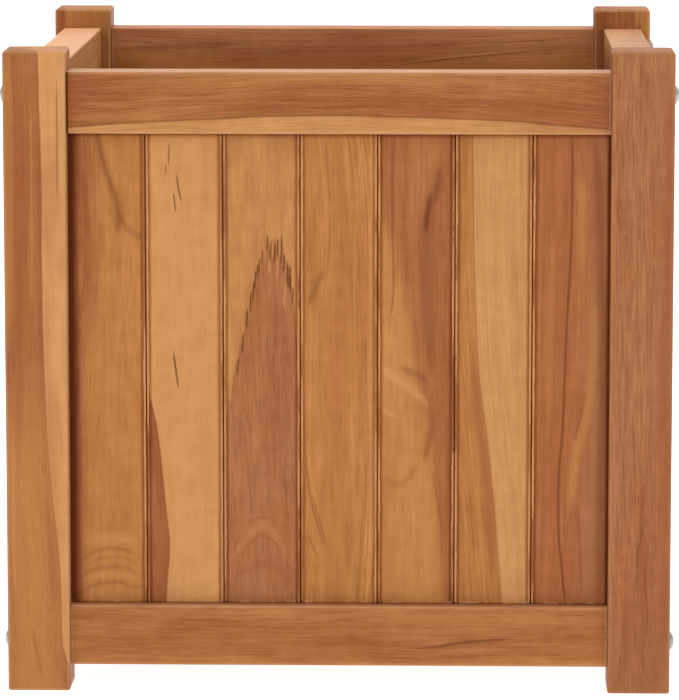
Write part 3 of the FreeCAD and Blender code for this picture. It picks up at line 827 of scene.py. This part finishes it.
metals = {
    "frame_bolts": {"tone": (160, 156, 150), "rough": 0.26},
    "insert_nuts": {"tone": (196, 190, 168), "rough": 0.38},
    "cleat_screws": {"tone": (188, 184, 172), "rough": 0.34},
    "base_screws": {"tone": (188, 184, 172), "rough": 0.34},
}

metalLook = {
    "scuffs": {"Scale": 900.0, "Detail": 3.0},
    "scuffRough": 0.2,
    "stains": {"Scale": 160.0, "Detail": 2.0},
    "stainFrom": (0.4, 0.75),
    "stainShade": 0.72,
    "stainRough": 0.14,
    "reliefMm": 0.05,
    "reliefStrength": 0.25,
}


def steel(name, metal, look):
    finish, start = startFinish(name)
    spot = start.node("ShaderNodeTexCoord", out="Object")
    scuffs = start.node("ShaderNodeTexNoise", {}, {"Vector": spot, **look["scuffs"]})
    stains = start.node("ShaderNodeTexNoise", {}, {"Vector": spot, **look["stains"]})
    tone = tint(metal["tone"])
    dark = [c * look["stainShade"] for c in tone[:3]] + [1.0]
    colour = blend(tone, dark, step(stains, *look["stainFrom"]))
    rough = metal["rough"] + (scuffs - 0.5) * look["scuffRough"] + (stains - 0.5) * look["stainRough"]
    bump = start.node("ShaderNodeBump", {},
                      {"Strength": look["reliefStrength"], "Distance": look["reliefMm"] / mm,
                       "Height": scuffs})
    shader = start.node("ShaderNodeBsdfPrincipled", {},
                        {"Base Color": colour, "Metallic": 1.0, "Roughness": rough, "Normal": bump})
    start.node("ShaderNodeOutputMaterial", {}, {"Surface": shader})
    return finish


for node, metal in metals.items():
    putOn(nodes[node], steel(f"steel_{node}", metal, metalLook))

dowelBoard = {
    "heart": "sand", "sap": "straw", "pith": (20, 10), "edge": 3.0, "wander": 1.0,
    "line": [(-210, 0), (0, 1), (210, 0)], "blush": ("straw", 0.3), "pale": ("chalk", 0.4),
    "seed": 401,
    "clear": 500.0,  # mm, so far that no dowel has a rubbed edge
}
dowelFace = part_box("locating_dowels")[0][1]
dowelLay = {"ways": [(2, 0.0, 1), (0, 0.0, 1), (1, dowelFace, 1)], "seed": dowelBoard["seed"],
            "half": (dowelBoard["clear"],) * 3}
putOn(nodes["locating_dowels"], teak("beech_dowels", dowelBoard, dowelLay))
print("metal and dowels finished")

floorLook = {"half": 8.0, "cells": 8, "tone": (250, 250, 250), "toneShare": 0.6, "rough": 0.9, "glow": 0.92}


def layFloor(look):
    mesh = bpy.data.meshes.new("studioFloor")
    grid = bmesh.new()
    bmesh.ops.create_grid(grid, x_segments=look["cells"], y_segments=look["cells"], size=look["half"])
    grid.to_mesh(mesh)
    grid.free()
    floor = bpy.data.objects.new("studioFloor", mesh)
    bpy.context.scene.collection.objects.link(floor)
    finish, start = startFinish("studioFloorWhite")
    white = start.node("ShaderNodeBsdfPrincipled", {},
                       {"Base Color": tint(look["tone"], look["toneShare"]), "Roughness": look["rough"],
                        "Specular IOR Level": 0.0, "Emission Color": (1, 1, 1, 1),
                        "Emission Strength": look["glow"]})
    clear = start.node("ShaderNodeBsdfTransparent")
    back = start.node("ShaderNodeNewGeometry", out="Backfacing")
    both = start.node("ShaderNodeMixShader", {}, {0: back, 1: white, 2: clear})  # seen through from below
    start.node("ShaderNodeOutputMaterial", {}, {"Surface": both})
    putOn(floor, finish)


layFloor(floorLook)

studio = {
    "sky": 1.0,
    "aimHigh": 0.2,  # the lamps look at the middle of the planter
    "lamps": {
        "keyLamp": {"at": (-1.7, -2.3, 1.9), "wide": 1.3, "watts": 10.0},
        "fillLamp": {"at": (1.9, -2.0, 1.0), "wide": 1.6, "watts": 3.0},
        "topLamp": {"at": (0.0, 0.1, 2.4), "wide": 1.2, "watts": 16.0},
    },
}


def lightStudio(look):
    world = bpy.data.worlds.new("studioWhite")
    bpy.context.scene.world = world
    world.use_nodes = True
    sky = world.node_tree.nodes["Background"]
    sky.inputs["Color"].default_value = (1, 1, 1, 1)
    sky.inputs["Strength"].default_value = look["sky"]
    for name, lamp in look["lamps"].items():
        data = bpy.data.lights.new(name, "AREA")
        data.energy = lamp["watts"]
        data.size = lamp["wide"]
        made = bpy.data.objects.new(name, data)
        made.location = lamp["at"]
        aim = -made.location
        aim.z += look["aimHigh"]
        made.rotation_euler = aim.to_track_quat("-Z", "Y").to_euler()
        bpy.context.scene.collection.objects.link(made)
    bpy.context.scene.view_settings.view_transform = "Standard"


lightStudio(studio)

cameraLook = {
    "at": (0.0698, -2.8968, 0.5988),
    "turn": 1.466,  # degrees to the left
    "dip": 8.219,  # degrees below level
    "lens": 234.3,
    "sensor": 36.0,
    "sight": 60.0,
}


def setCamera(look):
    data = bpy.data.cameras.new("photoCamera")
    data.lens = look["lens"]
    data.sensor_width = look["sensor"]
    data.clip_end = look["sight"]
    made = bpy.data.objects.new("photoCamera", data)
    made.location = look["at"]
    made.rotation_euler = Euler((math.radians(90.0 - look["dip"]), 0.0, math.radians(look["turn"])))
    bpy.context.scene.collection.objects.link(made)
    bpy.context.scene.camera = made


setCamera(cameraLook)
print("floor, light and camera set")
